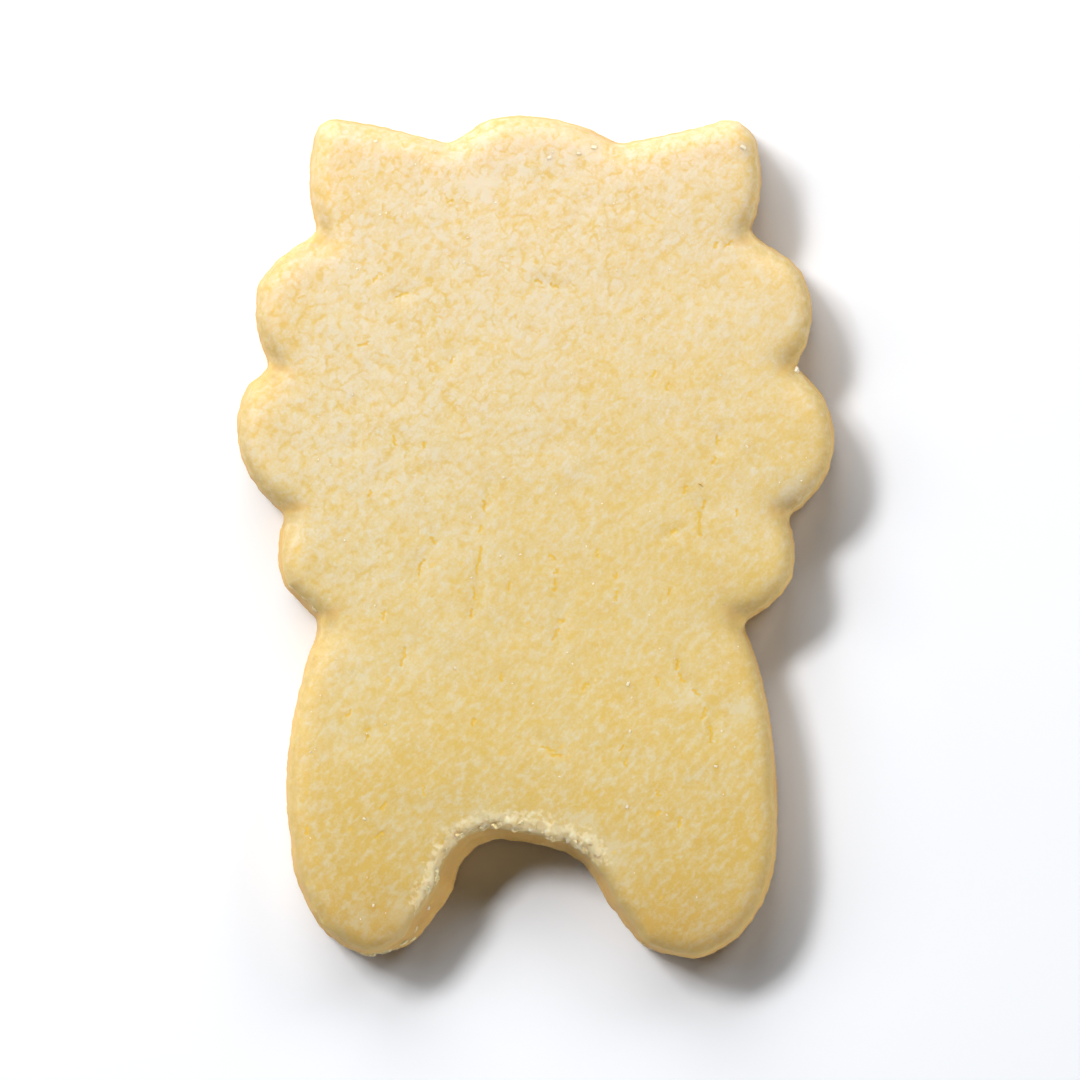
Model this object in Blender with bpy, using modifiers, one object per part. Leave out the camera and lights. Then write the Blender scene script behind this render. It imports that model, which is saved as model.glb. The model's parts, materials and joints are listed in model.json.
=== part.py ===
"""A shortbread cookie cut with an animal cutter: two ears, a scalloped mane and two legs.

The dough was cut from a flat sheet. Baking rounded its upper rim, let the foot of its wall spread,
and opened fissures in its top. It is one solid, lying on its flat base with its head towards +Y.
"""

import math

import bmesh
import bpy
import numpy as np
from mathutils import Vector, kdtree, noise

MM = 0.001

# The baked cookie's cross-section, from its base to the middle of its top.
THICKNESS = 8.0 * MM
DOME_RISE = 0.35 * MM
DOME_REACH = 14.0 * MM
SHOULDER_DROP = 2.4 * MM
SHOULDER_POWER = 2.7
WALL_WIDEST_AT = 1.6 * MM
FOOT_TUCK = 0.5 * MM
FOOT_TUCK_REACH = 3.0 * MM

# The cutter's outline, anticlockwise from the notch right of the crown. For each part of the animal:
# the width of its rounded rim, how far its wall leans in, how far its crumbs stick out, and its
# arcs. An arc is where it ends, in millimetres from the middle of the cookie, and how far it bows
# outwards.
OUTLINE_START = (8.1, 39.0)
OUTLINE = {
    "crown": (2.8, 0.3, 0.12, [((-5.0, 41.5), 1.45), ((-8.7, 39.1), -0.05)]),
    "left ear": (2.6, 0.3, 0.08, [((-19.3, 41.5), 0.2), ((-22.1, 39.6), 0.85), ((-21.7, 30.1), 0.65)]),
    "left upper scallop": (2.7, 0.3, 0.08, [((-27.7, 25.2), 0.7), ((-26.4, 16.9), 0.85)]),
    "left scallop's top": (2.7, 0.3, 0.05, [((-28.9, 14.8), 0.1)]),
    "left middle scallop": (2.7, 0.3, 0.05, [((-29.1, 7.3), 0.75), ((-24.9, 2.1), 0.45)]),
    "left lower scallop": (2.4, 0.5, 0.3, [((-25.0, -5.2), 0.8), ((-21.5, -8.8), -0.1)]),
    "left flank": (2.7, 0.3, 0.1, [((-24.6, -20.4), 0.45), ((-24.4, -31.0), 0.35)]),
    "left foot": (2.4, 0.6, 0.3, [((-21.1, -39.6), 0.75), ((-16.9, -41.9), 0.2), ((-12.3, -40.7), 0.2)]),
    "left inner leg": (1.1, 1.7, 0.3, [((-8.2, -35.1), 0.2), ((-4.2, -30.2), -1.1)]),
    "arch": (0.7, 1.1, 0.45, [((3.3, -31.6), -0.25)]),
    "right inner leg": (2.0, 0.9, 0.2, [((6.9, -36.1), -0.5), ((10.6, -41.0), 0.1)]),
    "right foot": (2.6, 0.5, 0.2, [((16.5, -42.2), 0.25), ((19.8, -40.4), 0.05), ((24.0, -30.9), 1.05)]),
    "right flank": (2.7, 0.3, 0.1, [((23.6, -20.0), 0.15), ((20.5, -8.4), 0.5)]),
    "right lower scallop": (2.5, 0.3, 0.1, [((25.4, -4.5), 0.55), ((25.0, 2.1), 0.55)]),
    "right middle scallop": (2.6, 0.3, 0.08, [((29.7, 8.4), 0.9), ((25.8, 16.9), 1.3)]),
    "right upper scallop": (2.6, 0.3, 0.08, [((26.0, 27.0), 1.7), ((21.2, 30.1), 0.15)]),
    "right ear": (2.5, 0.3, 0.08, [((22.2, 38.1), 0.6), ((19.2, 41.7), 0.95), ((8.1, 39.0), -0.1)]),
}
OUTLINE_STEP = 0.3 * MM
RIM_BLEND = 2.5 * MM

# The cutter's inner corners, x and y in millimetres. The dough was pinched down around each.
PINCHES = [
    (-21.7, 30.1),
    (-26.4, 16.9),
    (-24.9, 2.1),
    (-21.5, -8.8),
    (20.5, -8.4),
    (25.0, 2.1),
    (25.8, 16.9),
    (21.2, 30.1),
]
PINCH_REACH = 2.2 * MM
PINCH_DEPTH = 0.45 * MM

# The unevenness of hand-rolled dough: broad swells, and pebbles as large as lumps of crumb.
SWELL_SIZE = 11.0 * MM
SWELL_HEIGHT = 0.16 * MM
PEBBLE_SIZE = 2.6 * MM
PEBBLE_HEIGHT = 0.08 * MM
CRUMB_SIZE = 1.3 * MM

# The fissures that show best in the top: the middle's x and y, and the length, in millimetres, and
# the heading in degrees from +X. The top sinks into a shallow valley along each.
FISSURES = [
    (-13.2, 24.2, 2.4, 20),
    (1.5, 25.1, 2.8, -20),
    (-8.3, 17.8, 1.6, 60),
    (-5.0, 3.6, 3.8, 82),
    (-6.0, -5.5, 5.2, 80),
    (-10.1, -0.4, 1.8, 110),
    (-11.5, -3.0, 3.0, 70),
    (18.2, 9.7, 1.8, 80),
    (16.6, 1.4, 4.6, 105),
    (13.6, 0.6, 1.8, 35),
    (2.1, -9.6, 4.2, 85),
    (1.3, -20.7, 2.6, -35),
    (-13.4, -12.9, 2.8, 80),
    (-16.6, -19.4, 2.6, 70),
    (15.2, -14.0, 4.8, -55),
    (17.4, -19.0, 3.2, 85),
]
FISSURE_WIDTH = 0.55 * MM
FISSURE_DEPTH = 0.14 * MM

# The evenness of the faceted surface: the grid that the slab is remeshed to, and what is kept of it.
SURFACE_GRID = 0.5 * MM
SMOOTHING_PASSES = 2
SHARE_KEPT = 0.13

SHORTBREAD_COLOUR = (0.82, 0.62, 0.31, 1.0)
SHORTBREAD_ROUGHNESS = 0.75


def clear_scene():
    for obj in list(bpy.data.objects):
        bpy.data.objects.remove(obj, do_unlink=True)


def arc_points(start, end, rise):
    """Points from start up to, but without, end, on an arc that bows right of its way by rise."""
    start, end = Vector(start), Vector(end)
    chord = end - start
    outwards = Vector((chord.y, -chord.x)).normalized()
    steps = max(1, round(chord.length / OUTLINE_STEP))
    if abs(rise) < 0.01 * MM:
        return [start.lerp(end, i / steps) for i in range(steps)]
    radius = (chord.length**2 / 4 + rise**2) / (2 * rise)
    centre = (start + end) / 2 + outwards * (rise - radius)
    half_angle = math.asin(chord.length / 2 / radius)
    points = []
    for i in range(steps):
        angle = half_angle * (2 * i / steps - 1)
        along = chord.normalized() * radius * math.sin(angle)
        points.append(centre + along + outwards * radius * math.cos(angle))
    return points


def cutter_outline():
    """The outline's points, and its rim width, lean and crumbs at each, blended along the outline."""
    points, edges = [], []
    corner = Vector(OUTLINE_START) * MM
    for rim, lean, crumbs, arcs in OUTLINE.values():
        for end, rise in arcs:
            arc = arc_points(corner, Vector(end) * MM, rise * MM)
            points += arc
            edges += [(rim * MM, lean * MM, crumbs * MM)] * len(arc)
            corner = Vector(end) * MM
    reach = round(RIM_BLEND / OUTLINE_STEP)
    shifted = [np.roll(edges, shift, axis=0) for shift in range(-reach, reach + 1)]
    return points, np.mean(shifted, axis=0)


def cut_slab(points):
    """The raw slab: the outline filled and extruded to the cookie's thickness, as a closed mesh."""
    curve = bpy.data.curves.new("cutter_outline", "CURVE")
    curve.dimensions = "2D"
    curve.fill_mode = "BOTH"
    curve.extrude = THICKNESS / 2
    spline = curve.splines.new("POLY")
    spline.points.add(len(points) - 1)
    for place, point in zip(spline.points, points):
        place.co = (point.x, point.y, 0.0, 1.0)
    spline.use_cyclic_u = True
    guide = bpy.data.objects.new("cutter_outline", curve)
    bpy.context.scene.collection.objects.link(guide)
    guide.location.z = THICKNESS / 2
    bpy.context.view_layer.update()

    graph = bpy.context.evaluated_depsgraph_get()
    mesh = bpy.data.meshes.new_from_object(guide.evaluated_get(graph))
    mesh.transform(guide.matrix_world)
    bpy.data.objects.remove(guide, do_unlink=True)
    shell = bmesh.new()
    shell.from_mesh(mesh)
    bmesh.ops.remove_doubles(shell, verts=shell.verts, dist=0.01 * MM)
    bmesh.ops.recalc_face_normals(shell, faces=shell.faces)
    shell.to_mesh(mesh)
    shell.free()
    mesh.name = "cookie"
    return mesh


def add_object(name, mesh, collection):
    obj = bpy.data.objects.new(name, mesh)
    collection.objects.link(obj)
    return obj


def apply_modifiers(obj):
    """Makes the object's evaluated mesh its own, and removes its modifiers."""
    graph = bpy.context.evaluated_depsgraph_get()
    baked = bpy.data.meshes.new_from_object(obj.evaluated_get(graph))
    baked.name = obj.data.name
    obj.modifiers.clear()
    obj.data = baked


def wall_inset(height, lean):
    """How far the wall stands in from the outline. Its foot tucks under, and it leans in upwards."""
    if height < WALL_WIDEST_AT:
        return FOOT_TUCK * (1 - height / WALL_WIDEST_AT) ** 2
    wall_top = THICKNESS - SHOULDER_DROP
    return lean * min(1.0, (height - WALL_WIDEST_AT) / (wall_top - WALL_WIDEST_AT)) ** 1.5


def shoulder(reach, rim, lean):
    """Inset and height on the rounded rim, which starts as reach 0 and joins the top at reach 1."""
    angle = reach * math.pi / 2
    inset = lean + rim * (1 - math.cos(angle) ** (2 / SHOULDER_POWER))
    rise = SHOULDER_DROP * math.sin(angle) ** (2 / SHOULDER_POWER)
    return inset, THICKNESS - SHOULDER_DROP + rise


def pinch_depth(x, y):
    """How far the top is drawn down at a place near the cutter's inner corners."""
    spot = Vector((x, y))
    nearest = min((spot - Vector(corner) * MM).length for corner in PINCHES)
    return PINCH_DEPTH * math.exp(-((nearest / PINCH_REACH) ** 2))


def fissure_depth(x, y):
    """How deep the valleys along the fissures are at a place on the top."""
    depth = 0.0
    for middle_x, middle_y, length, heading in FISSURES:
        along = Vector((math.cos(math.radians(heading)), math.sin(math.radians(heading))))
        offset = Vector((x, y)) - Vector((middle_x, middle_y)) * MM
        beyond = max(0.0, abs(offset.dot(along)) - length * MM / 2)
        aside = abs(offset.x * along.y - offset.y * along.x)
        depth = max(depth, math.exp(-(beyond**2 + aside**2) / FISSURE_WIDTH**2))
    return depth * FISSURE_DEPTH


def unevenness(place):
    swell = SWELL_HEIGHT * noise.noise(place / SWELL_SIZE)
    return swell + PEBBLE_HEIGHT * noise.noise(place / PEBBLE_SIZE)


def crumb(place):
    """Lumps with creases between them, from about -0.5 in a crease to 0.5 on a lump."""
    return 0.5 - noise.voronoi(place / CRUMB_SIZE)[0][0]


def baked_place(place, normal, edge, inwards, depth):
    """Where a point of the raw slab is after baking, by its way in along the wall and the top."""
    rim, lean, crumbs = edge
    if normal.z < -0.5:
        shift = FOOT_TUCK * max(0.0, 1 - depth / FOOT_TUCK_REACH)
        return Vector((place.x + inwards.x * shift, place.y + inwards.y * shift, 0.0))
    way = place.z + depth
    wall_top = THICKNESS - SHOULDER_DROP
    rim_way = SHOULDER_DROP + rim
    if way < wall_top:
        inset, height = wall_inset(way, lean), way
    elif way < wall_top + rim_way:
        inset, height = shoulder((way - wall_top) / rim_way, rim, lean)
    else:
        inset, height = way - THICKNESS + lean, THICKNESS
    fade = max(0.0, 1 - depth / DOME_REACH)
    shift = (inset - depth) * fade
    height -= DOME_RISE * fade**2
    baked = Vector((place.x + inwards.x * shift, place.y + inwards.y * shift, height))
    near_rim = max(0.0, 1 - max(0.0, inset) / (lean + rim + 1.5 * MM))
    lift = unevenness(baked) + crumbs * crumb(baked) * near_rim
    pinch = pinch_depth(baked.x, baked.y)
    if normal.z > 0.5:
        baked.z += lift - fissure_depth(baked.x, baked.y) - pinch
    else:
        baked.xy -= inwards * lift
        baked.z -= pinch * (height / THICKNESS) ** 3
    return baked


def bake(mesh, points, edges):
    """Moves the slab's points to the baked form."""
    tree = kdtree.KDTree(len(points))
    for index, point in enumerate(points):
        tree.insert((point.x, point.y, 0.0), index)
    tree.balance()
    slab = [(vertex.co.copy(), vertex.normal.copy()) for vertex in mesh.vertices]
    for vertex, (place, normal) in zip(mesh.vertices, slab):
        nearest, index, depth = tree.find((place.x, place.y, 0.0))
        before, after = points[index - 1], points[(index + 1) % len(points)]
        inwards = Vector((before.y - after.y, after.x - before.x)).normalized()
        if depth > OUTLINE_STEP:
            inwards = (place.xy - nearest.xy).normalized()
        vertex.co = baked_place(place, normal, edges[index], inwards, depth)
    mesh.update()


def flatten_base(mesh):
    """Puts the base back on the ground, and the middle of the cookie's box on the origin."""
    places = np.empty(len(mesh.vertices) * 3)
    mesh.vertices.foreach_get("co", places)
    places = places.reshape(-1, 3)
    places[:, 2] = np.where(places[:, 2] < 0.08 * MM, 0.0, places[:, 2])
    middle = (places.min(axis=0) + places.max(axis=0)) / 2
    places[:, :2] -= middle[:2]
    mesh.vertices.foreach_set("co", places.ravel())
    mesh.update()


def shortbread_material():
    material = bpy.data.materials.new("shortbread")
    material.use_nodes = True
    shader = material.node_tree.nodes["Principled BSDF"]
    shader.inputs["Base Color"].default_value = SHORTBREAD_COLOUR
    shader.inputs["Roughness"].default_value = SHORTBREAD_ROUGHNESS
    shader.inputs["Metallic"].default_value = 0.0
    return material


def main():
    clear_scene()
    collection = bpy.data.collections.new("shortbread_cookie")
    bpy.context.scene.collection.children.link(collection)
    points, edges = cutter_outline()
    cookie = add_object("cookie", cut_slab(points), collection)

    grid = cookie.modifiers.new("surface_grid", "REMESH")
    grid.mode = "VOXEL"
    grid.voxel_size = SURFACE_GRID
    apply_modifiers(cookie)

    bake(cookie.data, points, edges)

    soften = cookie.modifiers.new("soften", "SMOOTH")
    soften.factor = 0.5
    soften.iterations = SMOOTHING_PASSES
    apply_modifiers(cookie)
    flatten_base(cookie.data)

    thin_out = cookie.modifiers.new("thin_out", "DECIMATE")
    thin_out.ratio = SHARE_KEPT
    thin_out.use_collapse_triangulate = True
    apply_modifiers(cookie)
    flatten_base(cookie.data)

    cookie.data.materials.append(shortbread_material())
    cookie.data.shade_smooth()


main()
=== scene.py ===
"""A pale shortbread cookie cut with an animal cutter, lying on a white table.

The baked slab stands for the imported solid. Over it come the chips of its broken edges and the sugar
crystals of its top, and last the table, the lamps and the camera.
"""

import json
import math
import random

import bpy
import numpy as np
from mathutils import Matrix, Vector

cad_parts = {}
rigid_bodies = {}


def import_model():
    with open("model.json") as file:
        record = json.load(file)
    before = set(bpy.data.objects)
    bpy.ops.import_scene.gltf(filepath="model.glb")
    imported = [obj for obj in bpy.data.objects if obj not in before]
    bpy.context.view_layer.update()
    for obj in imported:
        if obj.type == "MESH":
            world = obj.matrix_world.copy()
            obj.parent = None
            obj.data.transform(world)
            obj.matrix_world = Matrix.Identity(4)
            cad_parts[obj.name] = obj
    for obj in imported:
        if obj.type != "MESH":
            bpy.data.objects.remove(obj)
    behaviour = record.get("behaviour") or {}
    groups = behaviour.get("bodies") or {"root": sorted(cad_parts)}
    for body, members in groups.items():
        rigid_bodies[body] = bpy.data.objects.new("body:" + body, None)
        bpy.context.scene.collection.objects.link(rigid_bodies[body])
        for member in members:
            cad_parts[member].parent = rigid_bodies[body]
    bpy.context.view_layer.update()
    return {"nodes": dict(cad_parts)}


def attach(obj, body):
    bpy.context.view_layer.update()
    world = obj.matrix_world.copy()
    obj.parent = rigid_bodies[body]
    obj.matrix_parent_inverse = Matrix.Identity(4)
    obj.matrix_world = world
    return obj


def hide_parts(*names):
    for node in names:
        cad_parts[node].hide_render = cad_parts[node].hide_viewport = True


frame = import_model()


# The baked slab: butter, sugar and flour rolled to 8 mm, cut, and baked just until its rim colours.
# Its top has dried into a pebbly skin with fine crazing, and short fissures opened along the
# rolling. Where the cutter tore it, over the gap between the legs, the crumb is ragged.

MM = 0.001
FINE_GRID = 0.17 * MM
FACET_SMOOTHING = 14
SLAB_TRIANGLES = 190000


def add_node(tree, kind, inputs=(), **settings):
    """Adds a node with its settings. An input is given a value, or the node or socket it takes."""
    node = tree.nodes.new(kind)
    for name, value in settings.items():
        setattr(node, name, value)
    for key, value in inputs.items() if isinstance(inputs, dict) else enumerate(inputs):
        if isinstance(value, bpy.types.Node):
            value = next(socket for socket in value.outputs if socket.enabled)
        if isinstance(value, bpy.types.NodeSocket):
            tree.links.new(value, node.inputs[key])
        else:
            node.inputs[key].default_value = value
    return node


def wandering(tree, place, per_mm, reach):
    """The place moved about by up to reach millimetres, so that what is drawn there looks grown."""
    drift = add_node(tree, "ShaderNodeTexNoise", {"Vector": place, "Scale": per_mm, "Detail": 2.0})
    centred = add_node(
        tree,
        "ShaderNodeVectorMath",
        (drift.outputs["Color"], (0.5, 0.5, 0.5)),
        operation="SUBTRACT",
    )
    return add_node(
        tree, "ShaderNodeVectorMath", (centred, (reach,) * 3, place), operation="MULTIPLY_ADD"
    )


# Crazing: the dried skin parts into cells 1 to 2 mm across, most at the upper left.
CRAZING_CELLS_PER_MM = 0.78


def crazing(tree, place):
    """1 in the middle of a crazing crack, 0 away from it, for a place in millimetres."""
    cells = add_node(
        tree,
        "ShaderNodeTexVoronoi",
        {
            "Vector": wandering(tree, wandering(tree, place, 0.9, 1.1), 3.0, 0.22),
            "Scale": CRAZING_CELLS_PER_MM,
        },
        feature="DISTANCE_TO_EDGE",
    )
    line = add_node(
        tree,
        "ShaderNodeMapRange",
        {"Value": cells, "From Min": 0.20, "From Max": 0.0},
        interpolation_type="SMOOTHSTEP",
    )
    stretches = add_node(
        tree,
        "ShaderNodeMapRange",
        {
            "Value": add_node(tree, "ShaderNodeTexNoise", {"Vector": place, "Scale": 0.9}),
            "From Min": 0.40,
            "From Max": 0.62,
        },
        interpolation_type="SMOOTHSTEP",
    )
    upper_left = add_node(
        tree, "ShaderNodeVectorMath", (place, (-0.016, 0.020, 0.0)), operation="DOT_PRODUCT"
    ).outputs["Value"]
    extent = add_node(tree, "ShaderNodeMath", (upper_left, 0.42), operation="ADD", use_clamp=True)
    broken = add_node(tree, "ShaderNodeMath", (line, stretches), operation="MULTIPLY")
    return add_node(tree, "ShaderNodeMath", (broken, extent), operation="MULTIPLY")


# The fissures and pits: x, y and length in millimetres, and heading in degrees from +X.
FISSURES = [
    (-13.3, 24.1, 1.0, 20),
    (-15.9, 25.6, 0.5, 60),
    (-17.1, 19.2, 0.9, 25),
    (-8.2, 17.7, 0.5, 70),
    (-8.5, 33.3, 0.5, 20),
    (0.3, 25.4, 0.7, -15),
    (1.9, 24.9, 0.8, -28),
    (-14.0, 9.6, 0.8, 95),
    (-11.1, 9.1, 0.5, 80),
    (-16.5, 4.3, 0.5, 60),
    (-5.1, 3.1, 0.8, 82),
    (-5.5, 0.8, 0.5, 70),
    (-5.6, -2.3, 2.5, 78),
    (-6.1, -5.6, 0.9, 80),
    (-6.4, -7.6, 0.7, 84),
    (-10.1, -0.3, 0.7, 120),
    (-11.4, -3.0, 1.5, 66),
    (-2.6, -4.9, 0.6, 90),
    (-15.1, -7.8, 0.8, 80),
    (19.2, 29.2, 0.8, 30),
    (17.9, 29.0, 0.5, 70),
    (11.7, 16.2, 0.5, 60),
    (13.1, 14.9, 0.6, 80),
    (18.1, 9.6, 0.9, 90),
    (17.7, 7.6, 0.6, 60),
    (16.3, 1.3, 2.4, 100),
    (16.7, 3.2, 0.6, 70),
    (13.7, 0.5, 0.8, 30),
    (14.9, 4.7, 0.6, 80),
    (20.0, 2.4, 0.5, 80),
    (8.1, -5.9, 0.9, 80),
    (13.3, -5.4, 0.6, 80),
    (8.0, -3.9, 0.5, 60),
    (6.2, -1.7, 0.6, 90),
    (1.7, -2.0, 0.6, -50),
    (2.1, -3.4, 0.4, 60),
    (2.0, -4.8, 1.0, 80),
    (2.6, -8.3, 0.6, -10),
    (2.0, -9.7, 1.2, 76),
    (-3.4, -13.9, 0.7, 80),
    (4.9, -14.8, 0.7, 50),
    (-13.1, -11.9, 1.7, 82),
    (-18.5, -17.5, 0.7, 60),
    (-16.7, -19.5, 1.0, 72),
    (-6.2, -18.4, 0.6, 80),
    (-11.1, -25.2, 0.9, 84),
    (-15.1, -26.7, 0.7, 60),
    (-15.5, -29.6, 0.8, 40),
    (-22.7, -29.2, 0.6, 80),
    (1.2, -21.0, 1.2, -30),
    (2.1, -21.7, 0.8, 10),
    (14.2, -12.7, 0.9, 84),
    (14.5, -14.0, 0.8, -55),
    (16.0, -15.4, 0.8, -30),
    (16.8, -17.5, 1.0, 76),
    (17.4, -19.6, 1.4, 84),
    (12.2, -14.3, 0.7, -70),
    (9.0, -22.4, 0.6, 70),
    (8.6, -21.0, 0.6, 60),
    (12.1, -25.4, 0.7, -60),
    (12.3, -27.4, 0.5, 60),
    (14.4, -28.3, 0.8, 84),
]
FISSURE_JOINTS = 5
FISSURE_WANDER = 0.16
FISSURE_HALF_WIDTH = 0.14
FISSURE_DEPTH = 0.05

fissure_draw = random.Random(4)
fissure_points, fissure_edges = [], []
for middle_x, middle_y, length, heading in FISSURES:
    along = Vector((math.cos(math.radians(heading)), math.sin(math.radians(heading)), 0.0))
    aside = Vector((-along.y, along.x, 0.0))
    for joint in range(FISSURE_JOINTS):
        reach = (joint / (FISSURE_JOINTS - 1) - 0.5) * length
        drift = fissure_draw.uniform(-1, 1) * FISSURE_WANDER * min(1.0, length)
        fissure_points.append(Vector((middle_x, middle_y, 0.0)) + along * reach + aside * drift)
        if joint:
            fissure_edges.append((len(fissure_points) - 2, len(fissure_points) - 1))

# The torn crumb: the joints, in millimetres, of the lines where the cutter tore or chipped the rim.
TORN_RIMS = [
    [(-10.6, -36.2), (-9.4, -33.6), (-8.4, -31.3), (-6.6, -29.6), (-4.3, -28.9), (-0.3, -29.1)],
    [(-0.3, -29.1), (2.9, -30.3), (5.4, -31.3)],
]
TORN_REACH = 1.6

# Creases run in from the cutter's inner corners, where the dough was drawn down.
CREASES = [
    [(-22.0, 29.9), (-20.3, 29.0)],
    [(-26.9, 17.0), (-24.4, 16.4)],
    [(-25.3, 2.6), (-23.2, 3.0)],
    [(-21.9, -8.4), (-19.9, -7.4)],
    [(21.8, 29.9), (20.0, 29.2)],
    [(26.4, 17.1), (24.4, 16.6)],
    [(25.5, 2.0), (23.6, 2.6)],
    [(20.9, -8.5), (18.9, -7.3)],
]
CREASE_REACH = 0.55


def mark_lines(name, points, edges):
    """Loose edges at the base's height, from which a shaping tree measures, in millimetres."""
    mesh = bpy.data.meshes.new(name)
    mesh.from_pydata([(x * MM, y * MM, 0.0) for x, y, *_ in points], edges, [])
    lines = bpy.data.objects.new(name, mesh)
    bpy.context.scene.collection.objects.link(lines)
    return lines


torn_points = [joint for rim in TORN_RIMS for joint in rim]
torn_edges, start = [], 0
for rim in TORN_RIMS:
    torn_edges += [(start + i, start + i + 1) for i in range(len(rim) - 1)]
    start += len(rim)
fissure_lines = mark_lines("fissure_lines", fissure_points, fissure_edges)
torn_lines = mark_lines("torn_lines", torn_points, torn_edges)
crease_lines = mark_lines(
    "crease_lines",
    [end for crease in CREASES for end in crease],
    [(2 * i, 2 * i + 1) for i in range(len(CREASES))],
)


def start_shaping(name):
    """A tree that takes a mesh, and the places of its points in metres and in millimetres."""
    tree = bpy.data.node_groups.new(name, "GeometryNodeTree")
    tree.interface.new_socket(name="Mesh", in_out="INPUT", socket_type="NodeSocketGeometry")
    tree.interface.new_socket(name="Mesh", in_out="OUTPUT", socket_type="NodeSocketGeometry")
    mesh = add_node(tree, "NodeGroupInput").outputs[0]
    metres = add_node(tree, "GeometryNodeInputPosition")
    place = add_node(
        tree, "ShaderNodeVectorMath", {0: metres, "Scale": 1000.0}, operation="SCALE"
    )
    return tree, mesh, metres, place


def share_near(tree, metres, place, lines, half_width, raggedness):
    """1 on the lines, half at half_width millimetres from them as seen from above, 0 beyond."""
    from_above = add_node(
        tree, "ShaderNodeVectorMath", (metres, (1.0, 1.0, 0.0)), operation="MULTIPLY"
    )
    lines_mesh = add_node(tree, "GeometryNodeObjectInfo", {"Object": lines}).outputs["Geometry"]
    found = add_node(
        tree,
        "GeometryNodeProximity",
        {0: lines_mesh, "Sample Position": from_above},
        target_element="EDGES",
    ).outputs["Distance"]
    crumbs = add_node(
        tree, "ShaderNodeTexNoise", {"Vector": place, "Scale": 2.9, "Detail": 1.5}
    )
    width = add_node(
        tree,
        "ShaderNodeMapRange",
        {
            "Value": crumbs,
            "From Min": 0.34,
            "From Max": 0.66,
            "To Min": half_width * (1.0 - raggedness) * MM,
            "To Max": half_width * (1.0 + raggedness) * MM,
        },
    )
    ratio = add_node(tree, "ShaderNodeMath", (found, width), operation="DIVIDE")
    return add_node(
        tree,
        "ShaderNodeMapRange",
        {"Value": ratio, "From Min": 1.55, "From Max": 0.45},
        interpolation_type="SMOOTHSTEP",
    )


def apply_all(piece):
    """Applies the piece's modifiers, in order, with nothing else selected."""
    bpy.ops.object.select_all(action="DESELECT")
    piece.select_set(True)
    bpy.context.view_layer.objects.active = piece
    for modifier in [m.name for m in piece.modifiers]:
        bpy.ops.object.modifier_apply(modifier=modifier)


slab = bpy.data.objects.new("shortbread_slab", frame["nodes"]["cookie"].data.copy())
slab.data.materials.clear()
bpy.context.scene.collection.objects.link(slab)
bpy.ops.object.select_all(action="DESELECT")
slab.select_set(True)
bpy.context.view_layer.objects.active = slab
bpy.ops.object.mode_set(mode="EDIT")
bpy.ops.mesh.select_all(action="SELECT")
bpy.ops.mesh.remove_doubles(threshold=0.001 * MM)
bpy.ops.object.mode_set(mode="OBJECT")

grid = slab.modifiers.new("grid", "REMESH")
grid.mode = "VOXEL"
grid.voxel_size = FINE_GRID
facets = slab.modifiers.new("facets", "SMOOTH")
facets.factor = 0.5
facets.iterations = FACET_SMOOTHING
apply_all(slab)

# The mesh is made finer along the fissures, whose lips are sharper than the grid.
centres = np.empty(3 * len(slab.data.polygons))
slab.data.polygons.foreach_get("center", centres)
centres = centres.reshape(-1, 3) / MM
on_top_side = centres[:, 2] > 6.0
beside_fissure = np.zeros(len(centres), bool)
for first, last in fissure_edges:
    ends = np.array([fissure_points[first][:2], fissure_points[last][:2]])
    low, high = ends.min(axis=0) - 0.45, ends.max(axis=0) + 0.45
    inside = (centres[:, :2] > low).all(axis=1) & (centres[:, :2] < high).all(axis=1)
    beside_fissure |= inside & on_top_side
slab.data.vertices.foreach_set("select", np.zeros(len(slab.data.vertices), bool))
slab.data.edges.foreach_set("select", np.zeros(len(slab.data.edges), bool))
slab.data.polygons.foreach_set("select", beside_fissure)
bpy.context.tool_settings.mesh_select_mode = (False, False, True)
bpy.ops.object.mode_set(mode="EDIT")
bpy.ops.mesh.subdivide(number_cuts=1)
bpy.ops.object.mode_set(mode="OBJECT")
kept_fine = np.zeros(len(slab.data.vertices), bool)
slab.data.vertices.foreach_get("select", kept_fine)
fissure_lips = slab.vertex_groups.new(name="fissure_lips")
fissure_lips.add(np.nonzero(kept_fine)[0].tolist(), 1.0, "REPLACE")

# The relief, in millimetres: each line is a form, where it shows, and how far it stands out.
tree, mesh, metres, place = start_shaping("baked_relief")
normal = add_node(tree, "GeometryNodeInputNormal")
normal_up = add_node(tree, "ShaderNodeSeparateXYZ", (normal,)).outputs["Z"]
height = add_node(tree, "ShaderNodeSeparateXYZ", (place,)).outputs["Z"]
on_top = add_node(
    tree, "ShaderNodeMapRange", {"Value": normal_up, "From Min": 0.45, "From Max": 0.8}
)
on_wall = add_node(tree, "ShaderNodeMath", (1.0, on_top), operation="SUBTRACT")
on_rim = add_node(tree, "ShaderNodeMapRange", {"Value": height, "From Min": 5.2, "From Max": 6.8})
not_base = add_node(
    tree, "ShaderNodeMapRange", {"Value": normal_up, "From Min": -0.85, "From Max": -0.5}
)
pebbles = add_node(
    tree,
    "ShaderNodeTexVoronoi",
    {"Vector": wandering(tree, place, 1.3, 0.6), "Scale": 0.8, "Smoothness": 0.7},
    feature="SMOOTH_F1",
)
swell = add_node(tree, "ShaderNodeTexNoise", {"Vector": place, "Scale": 0.3, "Detail": 1.0})
grain = add_node(tree, "ShaderNodeTexNoise", {"Vector": place, "Scale": 1.9, "Detail": 2.0})
drawn_along = add_node(
    tree, "ShaderNodeVectorMath", (place, (0.22, 0.22, 1.5)), operation="MULTIPLY"
)
drag_lines = add_node(
    tree, "ShaderNodeTexNoise", {"Vector": drawn_along, "Scale": 0.8, "Detail": 2.0}
)
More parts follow.
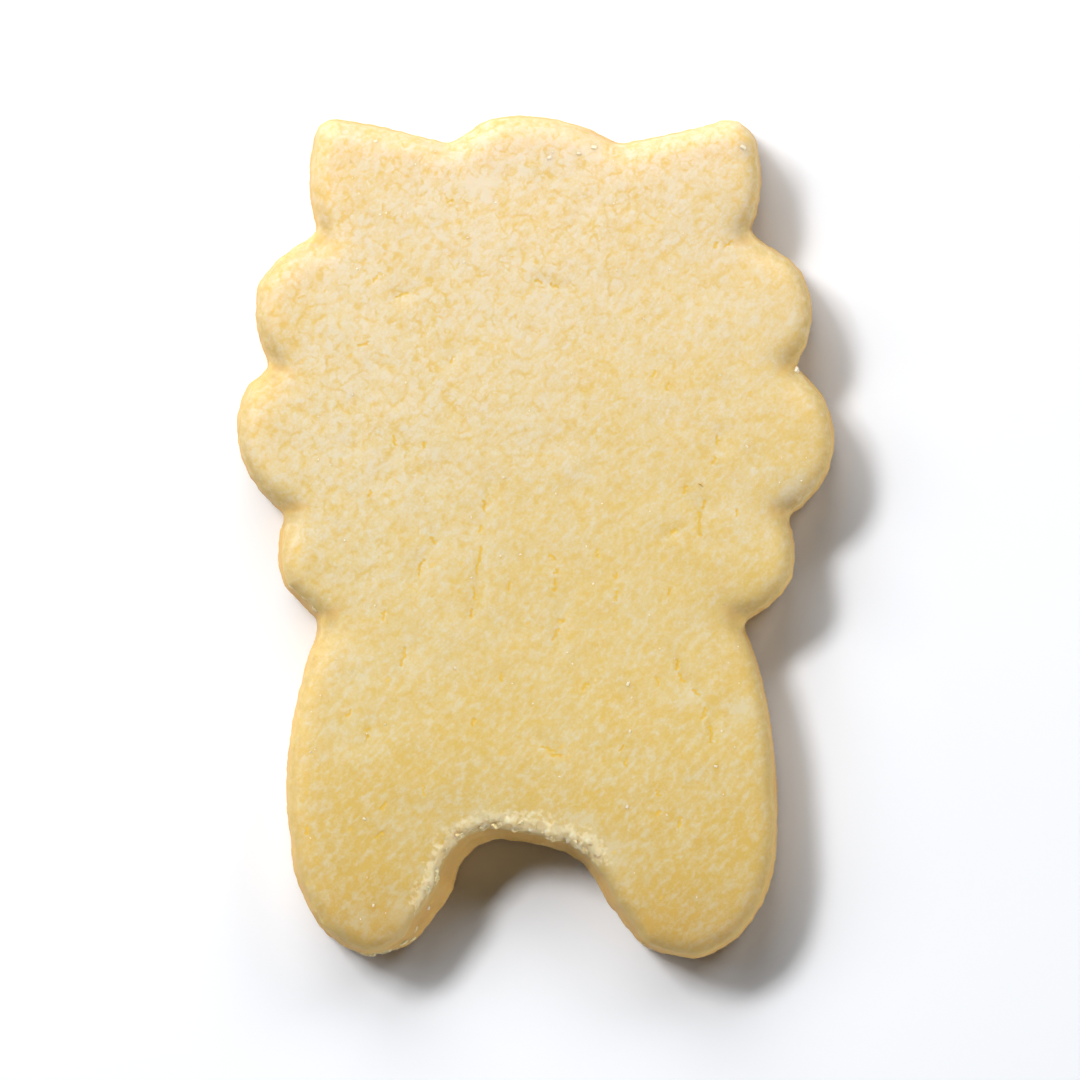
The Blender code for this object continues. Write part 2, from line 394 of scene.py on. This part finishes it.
chunks = add_node(
    tree, "ShaderNodeTexVoronoi", {"Vector": wandering(tree, place, 1.8, 0.7), "Scale": 1.5}
)
chunk_steps = add_node(tree, "ShaderNodeSeparateXYZ", (chunks.outputs["Color"],))
torn = share_near(tree, metres, place, torn_lines, TORN_REACH * 0.75, 0.45)
torn_rim = add_node(tree, "ShaderNodeMath", (torn, on_rim), operation="MULTIPLY")
relief = 0.0
for form, level, where, depth in (
    (pebbles, 0.4, on_top, -0.035),
    (swell, 0.5, 1.0, 0.08),
    (grain, 0.5, on_top, 0.06),
    (grain, 0.5, on_wall, 0.16),
    (drag_lines, 0.5, on_wall, 0.30),
    (crazing(tree, place), 0.0, on_top, -0.03),
    (
        share_near(tree, metres, place, fissure_lines, FISSURE_HALF_WIDTH, 0.65),
        0.0,
        on_top,
        -FISSURE_DEPTH,
    ),
    (share_near(tree, metres, place, crease_lines, CREASE_REACH, 0.2), 0.0, on_top, -0.04),
    (chunk_steps, 0.55, torn_rim, 0.34),
):
    centred = add_node(tree, "ShaderNodeMath", (form, level), operation="SUBTRACT")
    there = add_node(tree, "ShaderNodeMath", (centred, where), operation="MULTIPLY")
    relief = add_node(tree, "ShaderNodeMath", (there, depth, relief), operation="MULTIPLY_ADD")
relief = add_node(tree, "ShaderNodeMath", (relief, not_base), operation="MULTIPLY")
relief = add_node(tree, "ShaderNodeMath", (relief, MM), operation="MULTIPLY")
offset = add_node(
    tree, "ShaderNodeVectorMath", {0: normal, "Scale": relief}, operation="SCALE"
)
add_node(
    tree,
    "NodeGroupOutput",
    (add_node(tree, "GeometryNodeSetPosition", {0: mesh, "Offset": offset}),),
)
baked_relief = slab.modifiers.new("baked_relief", "NODES")
baked_relief.node_group = tree
apply_all(slab)

thin_out = slab.modifiers.new("thin_out", "DECIMATE")
thin_out.ratio = SLAB_TRIANGLES / (2 * len(slab.data.polygons))
thin_out.use_collapse_triangulate = True
thin_out.vertex_group = "fissure_lips"
thin_out.invert_vertex_group = True
apply_all(slab)
slab.vertex_groups.clear()

# Marks for the material: how much of each place is fissure, crease, torn crumb, or a patch of the
# skin that dried paler or baked more golden. A patch is x, y and radius in millimetres.
PALE_PATCHES = [
    (26.0, 4.2, 1.6),
    (20.0, 29.7, 1.5),
    (20.6, -17.3, 1.6),
    (15.5, -15.9, 1.3),
    (-5.5, 35.0, 1.6),
    (5.6, 38.8, 1.2),
    (-17.4, -37.4, 1.3),
    (-13.4, -37.2, 1.5),
    (-13.0, -39.4, 1.2),
    (-5.4, -27.6, 1.5),
    (4.2, -29.3, 1.9),
    (7.4, -31.4, 1.6),
]
GOLDEN_PATCHES = [
    (-19.0, 35.6, 3.6),
    (-24.3, 21.0, 3.0),
    (-27.6, 10.5, 3.2),
    (-23.6, -18.4, 4.0),
    (-22.0, -26.0, 4.6),
    (-15.5, -34.5, 4.4),
    (13.5, -37.0, 4.8),
    (20.0, 35.8, 2.6),
    (19.5, -29.0, 4.0),
]
tree, mesh, metres, place = start_shaping("baked_marks")
marks = {
    "fissure": share_near(tree, metres, place, fissure_lines, FISSURE_HALF_WIDTH, 0.65),
    "crease": share_near(tree, metres, place, crease_lines, CREASE_REACH, 0.3),
    "torn": share_near(tree, metres, place, torn_lines, TORN_REACH, 0.35),
}
ragged = wandering(tree, place, 0.8, 2.2)
for mark, patches in (("pale", PALE_PATCHES), ("golden", GOLDEN_PATCHES)):
    marks[mark] = 0.0
    for patch_x, patch_y, radius in patches:
        flat = add_node(tree, "ShaderNodeVectorMath", (ragged, (1, 1, 0)), operation="MULTIPLY")
        distance = add_node(
            tree,
            "ShaderNodeVectorMath",
            (flat, (patch_x, patch_y, 0.0)),
            operation="DISTANCE",
        ).outputs["Value"]
        share = add_node(
            tree,
            "ShaderNodeMapRange",
            {"Value": distance, "From Min": radius * 1.4, "From Max": radius * 0.3},
            interpolation_type="SMOOTHSTEP",
        )
        marks[mark] = add_node(
            tree, "ShaderNodeMath", (share, marks[mark]), operation="MAXIMUM"
        )
for mark, share in marks.items():
    mesh = add_node(
        tree,
        "GeometryNodeStoreNamedAttribute",
        {0: mesh, "Name": mark, "Value": share},
        data_type="FLOAT",
        domain="POINT",
    )
add_node(tree, "NodeGroupOutput", (mesh,))
baked_marks = slab.modifiers.new("baked_marks", "NODES")
baked_marks.node_group = tree
apply_all(slab)
slab.data.shade_smooth()
for lines in (fissure_lines, torn_lines, crease_lines):
    bpy.data.objects.remove(lines, do_unlink=True)


def tone(colour):
    """A colour as the renderer takes it, from sRGB hex."""
    parts = [int(colour[i : i + 2], 16) / 255 for i in (1, 3, 5)]
    return (*[c / 12.92 if c <= 0.04045 else ((c + 0.055) / 1.055) ** 2.4 for c in parts], 1.0)


# Baked shortbread: flour and sugar bound in butter. Light sinks a millimetre or two in and comes out
# yellow, and that golden glow of the cracks and pits is also painted into their colour, so they don't
# go dark. The skin is dull, mottled between pale dried starch and golden crumb at 0.3 to 1 mm, and
# browns towards the ends of the legs, where it is also painted darker for the light falling off. The
# patterns' scales are how many of their grains go to a millimetre.
MOTTLE_PER_MM = 1.15
SPECKLE_PER_MM = 3.6
STREAKS_PER_MM = 0.75
BLOTCHES_PER_MM = 0.17
FLECKS_PER_MM = 1.25
PITS_PER_MM = 0.62
FINE_GRAIN_PER_MM = 3.2
ROLLING_HEADING = 48

shortbread = bpy.data.materials.new("baked_shortbread")
shortbread.use_nodes = True
tree = shortbread.node_tree
skin = tree.nodes["Principled BSDF"]
place = add_node(
    tree,
    "ShaderNodeMapping",
    {
        "Vector": add_node(tree, "ShaderNodeTexCoord").outputs["Object"],
        "Scale": (1000.0, 1000.0, 1000.0),
    },
)
x_y_z = add_node(tree, "ShaderNodeSeparateXYZ", (place,))
mottle = add_node(
    tree,
    "ShaderNodeTexNoise",
    {
        "Vector": wandering(tree, place, 1.0, 0.6),
        "Scale": MOTTLE_PER_MM,
        "Detail": 4.0,
        "Roughness": 0.66,
    },
)
speckle = add_node(
    tree,
    "ShaderNodeTexNoise",
    {"Vector": place, "Scale": SPECKLE_PER_MM, "Detail": 2.0, "Roughness": 0.6},
)
rolled = add_node(
    tree,
    "ShaderNodeMapping",
    {
        "Vector": place,
        "Rotation": (0.0, 0.0, math.radians(ROLLING_HEADING)),
        "Scale": (1.4, 0.8, 1.0),
    },
    vector_type="TEXTURE",
)
streaks = add_node(
    tree,
    "ShaderNodeTexNoise",
    {"Vector": rolled, "Scale": STREAKS_PER_MM, "Detail": 3.0, "Roughness": 0.6},
)
blotches = add_node(
    tree, "ShaderNodeTexNoise", {"Vector": place, "Scale": BLOTCHES_PER_MM, "Detail": 2.0}
)
paleness = 0.28
for pattern, low, high, weight in (
    (mottle, 0.32, 0.68, 0.46),
    (speckle, 0.32, 0.68, 0.34),
    (streaks, 0.34, 0.66, 0.22),
    (blotches, 0.34, 0.66, 0.22),
):
    level = add_node(
        tree,
        "ShaderNodeMapRange",
        {"Value": pattern, "From Min": low, "From Max": high, "To Min": -0.5, "To Max": 0.5},
    )
    paleness = add_node(
        tree, "ShaderNodeMath", (level, weight, paleness), operation="MULTIPLY_ADD"
    )
flecks = add_node(
    tree,
    "ShaderNodeTexNoise",
    {
        "Vector": wandering(tree, rolled, 1.4, 0.5),
        "Scale": FLECKS_PER_MM,
        "Detail": 3.0,
        "Roughness": 0.6,
    },
)
fleck = add_node(
    tree,
    "ShaderNodeMapRange",
    {"Value": flecks, "From Min": 0.40, "From Max": 0.74},
    interpolation_type="SMOOTHSTEP",
)
paleness = add_node(tree, "ShaderNodeMath", (fleck, 0.50, paleness), operation="MULTIPLY_ADD")
down_legs = add_node(
    tree, "ShaderNodeMapRange", {"Value": x_y_z.outputs["Y"], "From Min": -10.0, "From Max": -28.0}
)
leg_contrast = add_node(tree, "ShaderNodeMath", (fleck, 0.36, -0.07), operation="MULTIPLY_ADD")
paleness = add_node(
    tree, "ShaderNodeMath", (leg_contrast, down_legs, paleness), operation="MULTIPLY_ADD"
)
# Painted sheen: the skin is painted paler towards the upper left, where the softbox hangs and its
# light is strongest.
toward_upper_left = add_node(
    tree, "ShaderNodeVectorMath", (place, (-0.016, 0.020, 0.0)), operation="DOT_PRODUCT"
).outputs["Value"]
painted_sheen_upper_left = add_node(
    tree,
    "ShaderNodeMapRange",
    {"Value": toward_upper_left, "From Min": -0.25, "From Max": 0.55, "To Max": 0.36},
)
paleness = add_node(tree, "ShaderNodeMath", (painted_sheen_upper_left, paleness), operation="ADD")
craze_lines = crazing(tree, place)
paleness = add_node(
    tree, "ShaderNodeMath", (craze_lines, -0.55, paleness), operation="MULTIPLY_ADD"
)
pale_mark = add_node(tree, "ShaderNodeAttribute", attribute_name="pale").outputs["Fac"]
paleness = add_node(
    tree, "ShaderNodeMath", (pale_mark, 0.45, paleness), operation="MULTIPLY_ADD"
)
golden_mark = add_node(tree, "ShaderNodeAttribute", attribute_name="golden").outputs["Fac"]
paleness = add_node(
    tree,
    "ShaderNodeMath",
    (golden_mark, -0.14, paleness),
    operation="MULTIPLY_ADD",
    use_clamp=True,
)
colour = add_node(
    tree,
    "ShaderNodeMix",
    {0: paleness, 6: tone("#DABC70"), 7: tone("#DBCDB2")},
    data_type="RGBA",
)

# Browning, and painted shade for the softbox's light falling off down the cookie: multiplied over the
# skin, by how far down the cookie a place is, in parts of 84 mm.
along_cookie = add_node(
    tree,
    "ShaderNodeMapRange",
    {"Value": x_y_z.outputs["Y"], "From Min": 42.0, "From Max": -42.0},
)
browning_and_shade = add_node(tree, "ShaderNodeValToRGB", (along_cookie,))
stops = browning_and_shade.color_ramp.elements
stops[0].position, stops[0].color = 0.05, tone("#FFFFFF")
stops[1].position, stops[1].color = 0.99, tone("#DDD2B0")
for position, shade in ((0.5, "#F7F9F3"), (0.74, "#F5F5E2"), (0.9, "#EBE8CE")):
    stop = stops.new(position)
    stop.color = tone(shade)
colour = add_node(
    tree,
    "ShaderNodeMix",
    {0: 1.0, 6: colour.outputs[2], 7: browning_and_shade.outputs["Color"]},
    data_type="RGBA",
    blend_type="MULTIPLY",
)

# Over the skin, in order: the golden rim, broken up by the mottling, which is partly the baked rim's
# colour and partly painted shade that darkens the sloping rim, and which is painted lighter by the
# crown, where the light falls on it; the wall, the browned foot, torn crumb, and the creases, pits
# and fissures, whose golden colour is painted glow of the light in them.
# The rim's colour: partly its baked gold, partly painted shade over the sloping shoulder.
rim = add_node(
    tree,
    "ShaderNodeMapRange",
    {"Value": x_y_z.outputs["Z"], "From Min": 7.9, "From Max": 6.6},
    interpolation_type="SMOOTHSTEP",
)
# Painted light: the rim's painted shade is weaker by the crown, which faces the softbox.
below_crown = add_node(
    tree,
    "ShaderNodeMapRange",
    {"Value": x_y_z.outputs["Y"], "From Min": 38.0, "From Max": 22.0, "To Min": 0.6},
)
rim = add_node(tree, "ShaderNodeMath", (rim, below_crown), operation="MULTIPLY")
patchy = add_node(
    tree,
    "ShaderNodeMapRange",
    {"Value": mottle, "From Min": 0.36, "From Max": 0.64, "To Min": 1.15, "To Max": 0.6},
)
rim = add_node(tree, "ShaderNodeMath", (rim, patchy), operation="MULTIPLY")
wall = add_node(
    tree,
    "ShaderNodeMapRange",
    {"Value": x_y_z.outputs["Z"], "From Min": 6.8, "From Max": 4.6},
    interpolation_type="SMOOTHSTEP",
)
foot = add_node(
    tree,
    "ShaderNodeMapRange",
    {"Value": x_y_z.outputs["Z"], "From Min": 1.3, "From Max": 0.0},
    interpolation_type="SMOOTHSTEP",
)
torn_mark = add_node(tree, "ShaderNodeAttribute", attribute_name="torn").outputs["Fac"]
high_up = add_node(
    tree, "ShaderNodeMapRange", {"Value": x_y_z.outputs["Z"], "From Min": 6.2, "From Max": 7.3}
)
torn_mottle = add_node(
    tree, "ShaderNodeMath", (mottle, 1.8, torn_mark), operation="MULTIPLY_ADD"
)
torn_flakes = add_node(
    tree,
    "ShaderNodeMapRange",
    {"Value": torn_mottle, "From Min": 1.1, "From Max": 1.75},
    interpolation_type="SMOOTHSTEP",
)
torn_top = add_node(tree, "ShaderNodeMath", (torn_flakes, high_up), operation="MULTIPLY")
crease_mark = add_node(tree, "ShaderNodeAttribute", attribute_name="crease").outputs["Fac"]
fissure_mark = add_node(tree, "ShaderNodeAttribute", attribute_name="fissure").outputs["Fac"]
specks = add_node(
    tree,
    "ShaderNodeTexVoronoi",
    {"Vector": wandering(tree, rolled, 1.2, 0.5), "Scale": PITS_PER_MM, "Randomness": 1.0},
)
speck_draw = add_node(tree, "ShaderNodeSeparateXYZ", (specks.outputs["Color"],))
speck_size = add_node(
    tree,
    "ShaderNodeMapRange",
    {"Value": speck_draw, "From Min": 0.62, "From Max": 1.0, "To Min": 0.0, "To Max": 0.2},
)
speck_room = add_node(tree, "ShaderNodeMath", (speck_size, specks), operation="SUBTRACT")
pits = add_node(
    tree, "ShaderNodeMapRange", {"Value": speck_room, "From Min": 0.0, "From Max": 0.07}
)
# Painted glow: the creases, pits and fissures are painted golden for the light that glows down in
# them.
for share, strength, shade in (
    (rim, 0.84, "#BBA060"),
    (wall, 0.80, "#CA9E54"),
    (foot, 0.45, "#C08A48"),
    (torn_top, 0.62, "#E2D3AC"),
    (crease_mark, 0.35, "#E0B868"),
    (pits, 0.45, "#DAB84A"),
    (fissure_mark, 0.85, "#D9B640"),
):
    strength_there = add_node(tree, "ShaderNodeMath", (share, strength), operation="MULTIPLY")
    colour = add_node(
        tree,
        "ShaderNodeMix",
        {0: strength_there, 6: colour.outputs[2], 7: tone(shade)},
        data_type="RGBA",
    )
tree.links.new(colour.outputs[2], skin.inputs["Base Color"])

# The finest grain, of sugar and flour under 0.3 mm across, is only light and shade.
fine_grain = add_node(
    tree,
    "ShaderNodeTexNoise",
    {"Vector": place, "Scale": FINE_GRAIN_PER_MM, "Detail": 3.0, "Roughness": 0.65},
)
pitted = add_node(
    tree, "ShaderNodeMath", (pits, -0.5, fine_grain), operation="MULTIPLY_ADD"
)
tree.links.new(
    add_node(
        tree,
        "ShaderNodeBump",
        {"Strength": 0.5, "Distance": 0.06 * MM, "Height": pitted},
    ).outputs[0],
    skin.inputs["Normal"],
)
skin.inputs["Roughness"].default_value = 0.66
skin.inputs["IOR"].default_value = 1.45
skin.inputs["Subsurface Weight"].default_value = 1.0
skin.inputs["Subsurface Radius"].default_value = (1.0, 0.75, 0.5)
skin.inputs["Subsurface Scale"].default_value = 3.2 * MM
slab.data.materials.append(shortbread)

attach(slab, "root")
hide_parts("cookie")


# The chips: flakes of dry crumb that the cutter broke from the rim and that baked on where they
# hung, over the gap between the legs, along the feet and at the left lower scallop. Each is a flat
# bit of up to 1.3 mm.

# The ones that show singly: the place and the length in millimetres, and the turn in degrees.
CHIPS = [
    (-17.3, -41.8, 1.9, 1.1, 10),
    (-16.4, -42.0, 2.2, 1.3, 60),
    (-15.5, -42.0, 1.8, 0.9, -20),
    (-14.8, -41.6, 2.8, 1.2, 30),
    (-13.9, -41.2, 2.2, 0.8, 80),
    (-13.2, -40.8, 3.4, 1.1, 15),
    (-12.3, -40.2, 2.6, 0.9, -40),
    (-11.5, -39.4, 3.8, 0.8, 10),
    (-18.2, -41.3, 2.9, 0.6, 35),
    (10.4, -41.0, 3.0, 0.8, -40),
    (11.3, -41.5, 2.4, 0.6, 10),
    (-24.9, -5.9, 6.2, 0.9, 70),
    (-24.1, -7.2, 6.6, 0.7, 20),
    (-22.9, -8.0, 6.9, 0.8, -30),
]
# Along the torn rims the flakes lie about this far apart, each moved and sized a little by chance.
# All are flattened to CHIP_FORM, roughened, and sunk a little into the crumb.
CHIP_FORM = (1.0, 0.7, 0.36)
CHIP_ROUGHNESS = 0.09
CHIP_SINK = 0.1
FLAKE_SPACING = 1.0
FLAKE_LENGTHS = (0.5, 1.1)
FLAKE_SCATTER = 0.6
RIM_HEIGHT = 7.5

chip_draw = random.Random(11)
for torn_rim_joints in TORN_RIMS:
    for near_end, far_end in zip(torn_rim_joints, torn_rim_joints[1:]):
        near_end, far_end = Vector(near_end), Vector(far_end)
        flakes = max(1, round((far_end - near_end).length / FLAKE_SPACING))
        for step in range(flakes):
            spot = near_end.lerp(far_end, (step + chip_draw.random()) / flakes)
            CHIPS.append(
                (
                    spot.x + chip_draw.uniform(-1, 1) * FLAKE_SCATTER,
                    spot.y + chip_draw.uniform(-1, 1) * FLAKE_SCATTER,
                    RIM_HEIGHT + chip_draw.uniform(-0.5, 0.5),
                    chip_draw.uniform(*FLAKE_LENGTHS),
                    chip_draw.uniform(0, 180),
                )
            )
bpy.ops.object.select_all(action="DESELECT")
for chip_x, chip_y, chip_z, chip_length, chip_turn in CHIPS:
    bpy.ops.mesh.primitive_ico_sphere_add(subdivisions=3, radius=0.5 * chip_length * MM)
    chip = bpy.context.object
    bpy.ops.object.mode_set(mode="EDIT")
    bpy.ops.mesh.select_all(action="SELECT")
    bpy.ops.transform.resize(value=CHIP_FORM)
    bpy.ops.transform.vertex_random(
        offset=CHIP_ROUGHNESS * chip_length * MM, uniform=0.7, seed=chip_draw.randrange(1000)
    )
    bpy.ops.object.mode_set(mode="OBJECT")
    _, seat, outward, _ = slab.closest_point_on_mesh(Vector((chip_x, chip_y, chip_z)) * MM)
    lie = outward.to_track_quat("Z", "Y").to_matrix().to_4x4()
    turn = Matrix.Rotation(math.radians(chip_turn), 4, "Z")
    chip.data.transform(Matrix.Translation(seat - outward * CHIP_SINK * MM) @ lie @ turn)
    chip.select_set(True)
chip_parts = [piece for piece in bpy.context.scene.objects if piece.name.startswith("Icosphere")]
bpy.ops.object.select_all(action="DESELECT")
for chip in chip_parts:
    chip.select_set(True)
bpy.context.view_layer.objects.active = chip_parts[0]
bpy.ops.object.join()
chips = bpy.context.object
chips.name = "crumb_chips"
chips.data.shade_smooth()

# Dry crumb: broken shortbread, whiter than the skin because its butter hasn't browned.
crumb = bpy.data.materials.new("dry_crumb")
crumb.use_nodes = True
tree = crumb.node_tree
place = add_node(
    tree,
    "ShaderNodeMapping",
    {
        "Vector": add_node(tree, "ShaderNodeTexCoord").outputs["Object"],
        "Scale": (1000.0, 1000.0, 1000.0),
    },
)
flour = add_node(tree, "ShaderNodeTexNoise", {"Vector": place, "Scale": 2.8, "Detail": 3.0})
clots = add_node(
    tree, "ShaderNodeMapRange", {"Value": flour, "From Min": 0.35, "From Max": 0.65}
)
colour = add_node(
    tree,
    "ShaderNodeMix",
    {0: clots, 6: tone("#DDC48A"), 7: tone("#E6D8AE")},
    data_type="RGBA",
)
dry = tree.nodes["Principled BSDF"]
tree.links.new(colour.outputs[2], dry.inputs["Base Color"])
tree.links.new(
    add_node(
        tree,
        "ShaderNodeBump",
        {"Strength": 0.6, "Distance": 0.06 * MM, "Height": flour},
    ).outputs[0],
    dry.inputs["Normal"],
)
dry.inputs["Roughness"].default_value = 0.9
dry.inputs["IOR"].default_value = 1.45
dry.inputs["Specular IOR Level"].default_value = 0.2
dry.inputs["Subsurface Weight"].default_value = 1.0
dry.inputs["Subsurface Radius"].default_value = (1.0, 0.8, 0.6)
dry.inputs["Subsurface Scale"].default_value = 0.2 * MM
chips.data.materials.append(crumb)

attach(chips, "root")


# The sugar crystals: grains of white sugar that didn't melt, baked into the top. The larger ones lie
# where the light finds them, near the crown, the ears and the legs, and fine ones everywhere.

# The place in millimetres and the crystal's length in millimetres.
CRYSTALS = [
    (26.0, 16.6, 0.75),
    (20.6, 38.7, 0.65),
    (5.8, 38.7, 0.6),
    (4.3, 38.1, 0.45),
    (1.4, 37.7, 0.5),
    (-15.9, 39.3, 0.45),
    (-16.1, -36.6, 0.35),
    (-9.8, -33.1, 0.55),
    (-10.7, -37.0, 0.5),
    (9.2, -14.6, 0.45),
    (9.4, -19.3, 0.35),
    (17.9, -22.8, 0.4),
    (9.1, -26.8, 0.4),
    (18.5, -19.3, 0.3),
    (-3.2, 5.9, 0.35),
    (-8.0, -13.0, 0.35),
    (-17.0, -28.0, 0.35),
    (21.0, 9.0, 0.35),
]
bpy.ops.object.select_all(action="DESELECT")
bpy.ops.mesh.primitive_cube_add(size=1.0)
crystal = bpy.context.object
crystal.name = "sugar_crystal"
bpy.ops.object.mode_set(mode="EDIT")
bpy.ops.mesh.select_all(action="SELECT")
bpy.ops.transform.resize(value=(1.0, 0.72, 0.6))
bpy.ops.transform.vertex_random(offset=0.05, uniform=0.5, seed=3)
bpy.ops.mesh.bevel(offset=0.1, segments=1, affect="EDGES")
bpy.ops.object.mode_set(mode="OBJECT")

bpy.ops.object.select_all(action="DESELECT")
crystal_draw = random.Random(7)
crystal_parts = []
for grain_x, grain_y, grain_length in CRYSTALS:
    part = bpy.data.objects.new("crystal_part", crystal.data.copy())
    bpy.context.scene.collection.objects.link(part)
    _, seat, outward, _ = slab.ray_cast(Vector((grain_x, grain_y, 12.0)) * MM, (0, 0, -1))
    lie = outward.to_track_quat("Z", "Y").to_matrix().to_4x4()
    turn = Matrix.Rotation(crystal_draw.uniform(0, math.tau), 4, "Z")
    tilt = Matrix.Rotation(crystal_draw.uniform(-0.35, 0.35), 4, "X")
    size = Matrix.Scale(0.85 * grain_length * MM, 4)
    part.data.transform(Matrix.Translation(seat + outward * 0.01 * MM) @ lie @ turn @ tilt @ size)
    part.select_set(True)
    crystal_parts.append(part)
bpy.context.view_layer.objects.active = crystal_parts[0]
bpy.ops.object.join()
crystals = bpy.context.object
crystals.name = "sugar_crystals"

# The fine ones are sown over the top at 2 to a square centimetre.
SOWN_PER_SQUARE_METRE = 20000.0
SOWN_LENGTHS = (0.12 * MM, 0.26 * MM)
tree, mesh, metres, place = start_shaping("sown_sugar")
skin_mesh = add_node(tree, "GeometryNodeObjectInfo", {"Object": slab}).outputs["Geometry"]
facing = add_node(
    tree, "ShaderNodeSeparateXYZ", (add_node(tree, "GeometryNodeInputNormal"),)
).outputs["Z"]
upward = add_node(tree, "ShaderNodeMath", (facing, 0.8), operation="GREATER_THAN")
sown = add_node(
    tree,
    "GeometryNodeDistributePointsOnFaces",
    {"Mesh": skin_mesh, "Selection": upward, "Density": SOWN_PER_SQUARE_METRE, "Seed": 5},
)
turned = add_node(
    tree,
    "FunctionNodeRandomValue",
    {0: (0.0, 0.0, 0.0), 1: (math.tau, math.tau, math.tau), "Seed": 2},
    data_type="FLOAT_VECTOR",
)
sized = add_node(
    tree,
    "FunctionNodeRandomValue",
    {2: SOWN_LENGTHS[0], 3: SOWN_LENGTHS[1], "Seed": 3},
    data_type="FLOAT",
)
one_crystal = add_node(tree, "GeometryNodeObjectInfo", {"Object": crystal}).outputs["Geometry"]
grains = add_node(
    tree,
    "GeometryNodeInstanceOnPoints",
    {
        "Points": sown.outputs["Points"],
        "Instance": one_crystal,
        "Rotation": turned,
        "Scale": sized.outputs[1],
    },
)
both = add_node(tree, "GeometryNodeJoinGeometry", (mesh,))
tree.links.new(add_node(tree, "GeometryNodeRealizeInstances", (grains,)).outputs[0], both.inputs[0])
add_node(tree, "NodeGroupOutput", (both,))
sown_sugar = crystals.modifiers.new("sown_sugar", "NODES")
sown_sugar.node_group = tree
apply_all(crystals)
bpy.data.objects.remove(crystal, do_unlink=True)

# Granulated sugar: clear, hard crystals. Each is a bright fleck, whiter than the skin under it.
sugar = bpy.data.materials.new("granulated_sugar")
sugar.use_nodes = True
tree = sugar.node_tree
clear = tree.nodes["Principled BSDF"]
place = add_node(
    tree,
    "ShaderNodeMapping",
    {
        "Vector": add_node(tree, "ShaderNodeTexCoord").outputs["Object"],
        "Scale": (1000.0, 1000.0, 1000.0),
    },
)
cloudy = add_node(tree, "ShaderNodeTexNoise", {"Vector": place, "Scale": 3.0, "Detail": 2.0})
haze = add_node(
    tree, "ShaderNodeMapRange", {"Value": cloudy, "From Min": 0.35, "From Max": 0.65}
)
colour = add_node(
    tree,
    "ShaderNodeMix",
    {0: haze, 6: tone("#EADFC4"), 7: tone("#F1E9D6")},
    data_type="RGBA",
)
tree.links.new(colour.outputs[2], clear.inputs["Base Color"])
clear.inputs["Roughness"].default_value = 0.3
clear.inputs["IOR"].default_value = 1.54
clear.inputs["Transmission Weight"].default_value = 0.25
crystals.data.materials.clear()
crystals.data.materials.append(sugar)

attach(crystals, "root")


# The table: a sheet of matt white card, large enough to fill any view.
bpy.ops.object.select_all(action="DESELECT")
bpy.ops.mesh.primitive_plane_add(size=6.0, location=(0.0, 0.0, -0.0002))
table = bpy.context.object
table.name = "table"
card = bpy.data.materials.new("white_card")
card.use_nodes = True
card.node_tree.nodes["Principled BSDF"].inputs["Base Color"].default_value = tone("#F6F8FC")
card.node_tree.nodes["Principled BSDF"].inputs["Roughness"].default_value = 0.9
table.data.materials.append(card)


# The light: a softbox at the upper left casts the shadow, a broad one beyond the ears softens its
# fringe, and white cards around the cookie pass on light from the sides. The front card is linked
# to the cookie's pieces alone, because the photograph's shadow is darker than its lit walls allow.
# Each is a name, a heading from +X and an elevation in degrees, a distance, width and height in
# metres, and a power in watts.
lit_by_front_card = bpy.data.collections.new("lit_by_front_card")
for piece in (slab, chips, crystals):
    lit_by_front_card.objects.link(piece)
for name, heading, elevation, distance, width, height, power in (
    ("upper_left_softbox", 137.0, 45.0, 1.2, 0.38, 0.20, 11.0),
    ("broad_softbox", 105.0, 34.0, 1.2, 0.8, 0.6, 8.5),
    ("high_left_card", 160.0, 32.0, 1.2, 0.5, 0.4, 2.9),
    ("low_left_card", 187.0, 14.0, 1.2, 0.6, 0.3, 1.4),
    ("right_card", 50.0, 32.0, 1.2, 0.5, 0.4, 3.6),
    ("front_card", 318.0, 25.0, 1.2, 1.0, 0.6, 7.8),
):
    lamp_data = bpy.data.lights.new(name, "AREA")
    lamp_data.shape = "RECTANGLE"
    lamp_data.size = width
    lamp_data.size_y = height
    lamp_data.energy = power
    lamp = bpy.data.objects.new(name, lamp_data)
    bpy.context.scene.collection.objects.link(lamp)
    flat_reach = math.cos(math.radians(elevation)) * distance
    lamp.location = (
        math.cos(math.radians(heading)) * flat_reach,
        math.sin(math.radians(heading)) * flat_reach,
        math.sin(math.radians(elevation)) * distance,
    )
    lamp.rotation_euler = (-lamp.location).to_track_quat("-Z", "Y").to_euler()
    if name == "front_card":
        lamp.light_linking.receiver_collection = lit_by_front_card

room = bpy.data.worlds.new("dim_room")
room.use_nodes = True
room.node_tree.nodes["Background"].inputs["Color"].default_value = (0.94, 0.97, 1.0, 1.0)
room.node_tree.nodes["Background"].inputs["Strength"].default_value = 0.03
bpy.context.scene.world = room
bpy.context.scene.view_settings.view_transform = "Standard"


# The camera: a long lens straight above, with the photograph's 1080 pixels over 108 mm at 2 mm up,
# near the height at which the cookie is widest.
CAMERA_HEIGHT = 0.9
SCALE_HEIGHT = 0.002
FRAME_WIDTH = 0.108
camera_data = bpy.data.cameras.new("camera")
camera_data.sensor_width = 36.0
camera_data.lens = 36.0 * (CAMERA_HEIGHT - SCALE_HEIGHT) / FRAME_WIDTH
camera_data.clip_start = 0.01
camera_data.clip_end = 20.0
camera = bpy.data.objects.new("camera", camera_data)
camera.location = (0.45 * MM, -0.3 * MM, CAMERA_HEIGHT)
bpy.context.scene.collection.objects.link(camera)
bpy.context.scene.camera = camera
